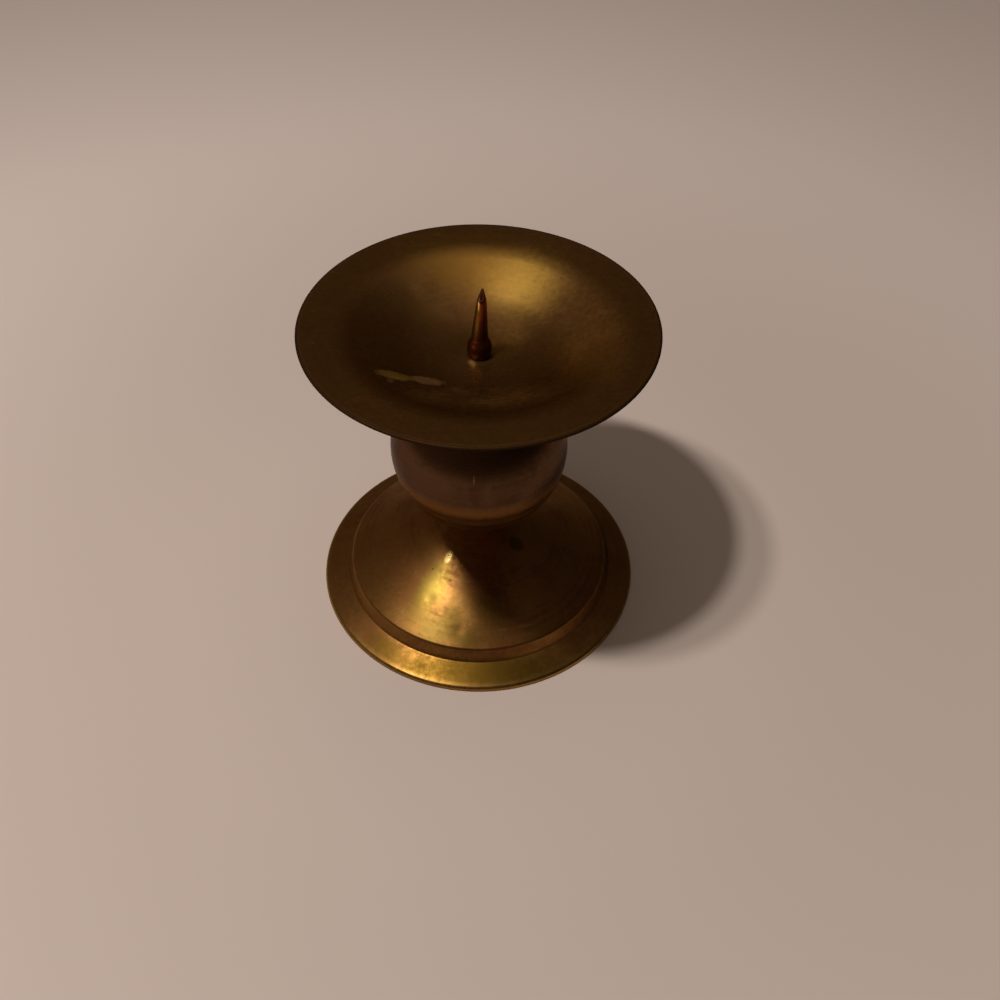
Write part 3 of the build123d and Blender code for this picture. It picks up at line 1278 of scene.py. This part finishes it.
@dataclass
class Studio:
    """Floor, lamps, dim surroundings and the camera at the photograph's viewing angle."""

    levels: Levels
    floor_width: float = 5000.0
    near_floor: Colour = (0.735, 0.62, 0.56)
    far_floor: Colour = (0.97, 0.84, 0.79)
    floor_fade: Span = (110.0, 340.0)
    room_tint: Colour = (1.0, 0.7, 0.48)
    room_left: float = 0.14
    room_right: float = 0.022
    camera_place: Point = (0.0, -212.56, 255.17)
    camera_yaw: float = 1.741
    camera_pitch: float = 46.661
    camera_roll: float = 1.349
    camera_clip: float = 0.01
    focal_pixels: float = 1003.3
    image_pixels: float = 1000.0
    sensor: float = 36.0
    lamps: tuple[Lamp, ...] = (
        Lamp("near_lamp", (-192.0, -109.0, 660.0), 40.0, 1.37, LampShape.ROUND),
        Lamp("far_lamp", (-323.0, -103.0, 786.0), 50.0, 1.55, LampShape.ROUND),
        Lamp("ceiling", (150.0, 300.0, 2200.0), 1500.0, 3.6, LampShape.SQUARE),
    )

    def lay_floor(self) -> None:
        """Lays a plain square floor under the foot, paler further out, where the lamps reach it less."""
        half = self.floor_width / 2 * METRES_PER_MM
        corners = [(-half, -half, 0.0), (half, -half, 0.0), (half, half, 0.0), (-half, half, 0.0)]
        mesh = bpy.data.meshes.new("floor")
        mesh.from_pydata(corners, [], [(0, 1, 2, 3)])
        floor = bpy.data.objects.new("floor", mesh)
        bpy.context.scene.collection.objects.link(floor)
        bench = Bench("pale_floor")
        paler = bench.between(bench.length(bench.millimetres()), *self.floor_fade)
        colour = bench.mix(paler, opaque(self.near_floor), opaque(self.far_floor))
        bench.finish({"Base Color": colour, "Roughness": 1.0, "Specular IOR Level": 0.0})
        mesh.materials.append(bench.material)

    def light(self) -> None:
        """Lights the lamps, and lets the dim room fade from its left side to its right."""
        aim = Vector((0.0, 0.0, self.levels.ball_middle * METRES_PER_MM))
        for lamp in self.lamps:
            lamp.light(aim)
        world = bpy.data.worlds.new("room")
        world.use_nodes = True
        tree = world.node_tree
        background = tree.nodes["Background"]
        background.inputs["Color"].default_value = opaque(self.room_tint)
        heading = tree.nodes.new("ShaderNodeTexCoord")
        across = tree.nodes.new("ShaderNodeSeparateXYZ")
        fade = tree.nodes.new("ShaderNodeMapRange")
        fade.inputs["From Min"].default_value = -1.0
        fade.inputs["To Min"].default_value = self.room_left
        fade.inputs["To Max"].default_value = self.room_right
        tree.links.new(heading.outputs["Generated"], across.inputs[0])
        tree.links.new(across.outputs["X"], fade.inputs["Value"])
        tree.links.new(fade.outputs[0], background.inputs["Strength"])
        bpy.context.scene.world = world

    def aim_camera(self) -> None:
        """Points the camera: yaw from +Y towards +X, pitch below level, then roll about its view."""
        yaw, pitch, roll = (math.radians(a) for a in (self.camera_yaw, self.camera_pitch, self.camera_roll))
        level = math.cos(pitch)
        ahead = Vector((math.sin(yaw) * level, math.cos(yaw) * level, -math.sin(pitch)))
        right = Vector((math.cos(yaw), -math.sin(yaw), 0.0))
        up = right.cross(ahead)
        rolled_right = math.cos(roll) * right + math.sin(roll) * up
        rolled_up = math.cos(roll) * up - math.sin(roll) * right
        data = bpy.data.cameras.new("camera")
        data.sensor_width = self.sensor
        data.lens = self.focal_pixels / self.image_pixels * self.sensor
        data.clip_start = self.camera_clip
        camera = bpy.data.objects.new("camera", data)
        turn = Matrix((rolled_right, rolled_up, -ahead)).transposed().to_4x4()
        camera.matrix_world = Matrix.Translation(Vector(self.camera_place) * METRES_PER_MM) @ turn
        bpy.context.scene.collection.objects.link(camera)
        bpy.context.scene.camera = camera
        bpy.context.scene.view_settings.view_transform = "Standard"


FOOT_BRASS = AgedBrass(
    name="foot_aged_brass",
    clean=(0.255, 0.123, 0.034),
    tarnished=(0.19, 0.079, 0.024),
    dirt_and_shade_colour=(0.08, 0.034, 0.009),
    bright=(0.4, 0.25, 0.07),
    roughness=0.35,
    stretch=0.15,
    marks=(
        # Painted shade: darkens the cone's front, where less lamp light is reflected.
        Mark("painted shade on cone front", (3.0, -30.0, 12.5), (10.5, 15.0, 9.0), 0.0, (0.072, 0.037, 0.007), 0.8),
        # Painted shade: darkens the flange's front so that its lamp highlight is dimmer.
        Mark("painted shade on flange front", (-2.0, -42.0, 1.8), (38.0, 12.0, 4.2), 0.0, (0.092, 0.05, 0.006), 0.95,
             fade=0.6, dulling=0.03),
        # Painted highlight: a yellower patch where the lamps' highlight fans down the cone.
        Mark("painted highlight fan", (-15.5, -24.5, 14.5), (17.0, 6.5, 12.0), 58.0, (0.175, 0.115, 0.019), 0.9,
             fade=0.95, dulling=-0.02),
        # Painted highlight: a brighter core inside the highlight's fan.
        Mark("painted highlight core", (-13.6, -21.8, 15.9), (8.5, 5.0, 8.0), 58.0, (0.28, 0.19, 0.036), 0.85,
             dulling=-0.02),
        # Painted shade: a darker strip on the right of the fan, which moves the highlight to the left.
        Mark("painted shade strip", (-8.5, -33.0, 11.5), (11.0, 5.5, 9.0), 76.0, (0.075, 0.047, 0.008), 0.85,
             fade=0.8),
        # Painted glint: a bright spot on the cone by the neck, where a small highlight shows.
        Mark("rubbed by neck", (-9.3, -15.0, 20.6), (2.4, 1.3, 3.0), 60.0, (0.5, 0.36, 0.13), 0.9,
             fade=0.6, dulling=-0.12),
        # Painted shade: a dark patch on the cone beside the neck, standing in for a dark reflection of the
        # ball.
        Mark("painted shade by neck", (11.4, -10.6, 21.4), (2.8, 2.4, 3.0), 0.0, (0.12, 0.07, 0.022), 1.0, fade=0.4),
        # Painted shade: darkens the step on the shaded right side, so that its edge hardly shows.
        Mark("painted shade on step right", (40.0, 8.0, 6.0), (4.5, 31.0, 3.2), 0.0, (0.1, 0.05, 0.018), 0.85,
             ragged=0.4, fade=0.7, dulling=0.03),
        # Painted highlight: dims and yellows the lower end of the highlight's fan.
        Mark("painted highlight lower fan", (-14.2, -34.5, 10.0), (6.0, 8.0, 5.0), 0.0, (0.15, 0.095, 0.02), 0.9, fade=0.8),
        # Painted shade: darkens the front of the cone's lower edge.
        Mark("painted shade on cone edge", (-3.5, -38.0, 9.4), (6.5, 6.5, 4.0), 0.0, (0.085, 0.05, 0.009), 0.85, fade=0.8),
        # Painted highlight: lighter than the painted shade of the flange front, where the flange's highlight
        # falls.
        Mark("painted highlight flange left", (-28.5, -36.0, 2.8), (10.0, 5.5, 4.0), -38.0, (0.11, 0.058, 0.009), 0.85,
             fade=0.7, dulling=0.02),
    ),
)

KNOP_BRASS = AgedBrass(
    name="knop_browned_brass",
    clean=(0.1, 0.05, 0.024),
    tarnished=(0.078, 0.036, 0.016),
    dirt_and_shade_colour=(0.035, 0.016, 0.008),
    # Lighter colour of the ball's lower half, a painted reflection of the lit foot, and of its scratches.
    bright=(0.29, 0.128, 0.03),
    roughness=0.28,
    limb=(0.66, 0.63, 0.62),
    rub=0.14,
    pit_share=0.02,
    scratch_share=0.05,
    marks=(
        # Painted glint: a thin light line on the ball, where a small highlight shows.
        Mark("scratch", (-1.4, -24.0, 63.0), (0.3, 3.0, 1.4), 0.0, (0.3, 0.2, 0.1), 0.5,
             ragged=0.4, fade=0.35, dulling=0.08),
    ),
)

PAN_BRASS = AgedBrass(
    name="pan_aged_brass",
    clean=(0.178, 0.086, 0.025),
    tarnished=(0.135, 0.06, 0.019),
    dirt_and_shade_colour=(0.042, 0.02, 0.008),
    bright=(0.3, 0.18, 0.05),
    roughness=0.38,
    limb=(0.3, 0.26, 0.2),
    pit_share=0.1,
    marks=(
        # Painted highlight: a lighter patch on the pan's back wall, which widens the lamps' highlight.
        Mark("painted highlight back wall", (-2.0, 31.0, 94.0), (26.0, 13.0, 12.0), 0.0, (0.25, 0.125, 0.022), 0.85),
        # Painted highlight: the brightest patch, where the lamps' highlight falls on the pan's back wall.
        Mark("painted highlight back", (13.0, 24.5, 92.5), (17.0, 16.0, 11.0), 60.0, (0.33, 0.19, 0.036), 0.9,
             fade=0.95),
        # Painted highlight: carries the highlight down to the spike's right side.
        Mark("painted highlight by spike", (7.0, 6.5, 87.6), (9.0, 8.0, 4.0), 60.0, (0.34, 0.175, 0.046), 0.8, fade=0.95),
        # Painted reflection: a lighter right wall, where it reflects the lighter room to the left.
        Mark("painted reflection right wall", (29.0, -5.0, 93.0), (13.0, 24.0, 12.0), 0.0, (0.35, 0.172, 0.046), 0.85),
        # Painted reflection: a lighter front wall, where more light is reflected.
        Mark("painted reflection front wall", (2.0, -23.0, 91.0), (26.0, 11.0, 9.0), 0.0, (0.36, 0.18, 0.05), 0.8),
        # A lighter streak across the pan's front floor, in three parts, with a tail.
        Mark("light streak left", (-21.5, -15.6, 91.8), (5.4, 2.3, 6.0), 9.0, (0.37, 0.21, 0.045), 0.95,
             ragged=0.7, fade=0.35, dulling=0.08),
        Mark("light streak right", (-13.4, -14.0, 88.9), (4.8, 2.4, 6.0), 2.0, (0.4, 0.22, 0.085), 0.9,
             ragged=0.7, fade=0.35, dulling=0.08),
        Mark("light streak tail", (-22.2, -18.6, 93.2), (1.0, 1.7, 4.0), 0.0, (0.27, 0.14, 0.05), 0.7,
             ragged=0.6, fade=0.35, dulling=0.08),
        # Painted reflection: a light spot by the spike's base, where the spike's lit side is reflected.
        Mark("painted reflection by spike base", (-1.9, -4.0, 86.7), (1.3, 2.3, 2.0), 20.0, (0.45, 0.24, 0.06), 0.8,
             ragged=0.6, fade=0.8, dulling=0.08),
        Mark("red stain", (-5.9, -16.2, 88.2), (1.4, 1.8, 2.0), 0.0, (0.25, 0.1, 0.042), 0.6,
             fade=0.8, dulling=0.08),
    ),
)

TURNED_BRASS = AgedBrass(
    name="turned_dark_brass",
    clean=(0.21, 0.08, 0.046),
    tarnished=(0.165, 0.056, 0.032),
    dirt_and_shade_colour=(0.05, 0.02, 0.012),
    bright=(0.3, 0.18, 0.07),
    roughness=0.1,
    limb=(1.0, 0.9, 0.75),
    patch_size=5.0,
    ring_pitch=0.5,
    ring_depth=0.003,
    pit_share=0.08,
    marks=(
        # Painted shade: darkens the spike's left side, which would reflect the bright pan floor.
        Mark("painted shade spike left", (-1.0, -1.2, 96.5), (1.2, 1.7, 6.0), 0.0, (0.068, 0.062, 0.026), 0.95,
             ragged=0.2, fade=0.5),
        Mark("painted shade spike upper left", (-0.45, -0.9, 102.5), (0.9, 1.4, 4.5), 0.0, (0.075, 0.07, 0.028), 0.95,
             ragged=0.2, fade=0.5),
        # Painted glint: a thin bright line on the spike's upper left side.
        Mark("painted glint line", (-0.15, -1.1, 104.0), (0.34, 0.8, 3.2), 0.0, (0.5, 0.42, 0.36), 0.9,
             ragged=0.2, fade=0.6),
    ),
)


def dress(piece: bpy.types.Object, material: bpy.types.Material) -> None:
    """Gives a piece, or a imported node, one material in all its slots.

    Args:
        piece: the object.
        material: its finish.
    """
    slots = piece.data.materials
    if not slots:
        slots.append(material)
    for index in range(len(slots)):
        slots[index] = material
    log.info("%s is dressed in %s", piece.name, material.name)


def main() -> None:
    """Builds the pieces in order, dresses them and sets up the studio."""
    logging.basicConfig(level=logging.INFO, format="%(message)s")
    levels = Levels.from_frame()
    brass = {finish: finish.material() for finish in (FOOT_BRASS, KNOP_BRASS, PAN_BRASS, TURNED_BRASS)}
    zinc = DulledZinc().material()
    dress(Foot(levels).build(), brass[FOOT_BRASS])
    for half in BallKnop(levels).build():
        dress(half, brass[KNOP_BRASS])
    dress(PanCollar(levels).build(), brass[TURNED_BRASS])
    dress(DripPan(levels).build(), brass[PAN_BRASS])
    dress(Pricket(levels).build(), brass[TURNED_BRASS])
    dress(TieRod(levels).build(), zinc)
    for node in ("foot_washer", "spring_washer", "clamp_nut"):
        dress(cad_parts[node], zinc)
    studio = Studio(levels)
    studio.lay_floor()
    studio.light()
    studio.aim_camera()


if __name__ == "__main__":
    main()
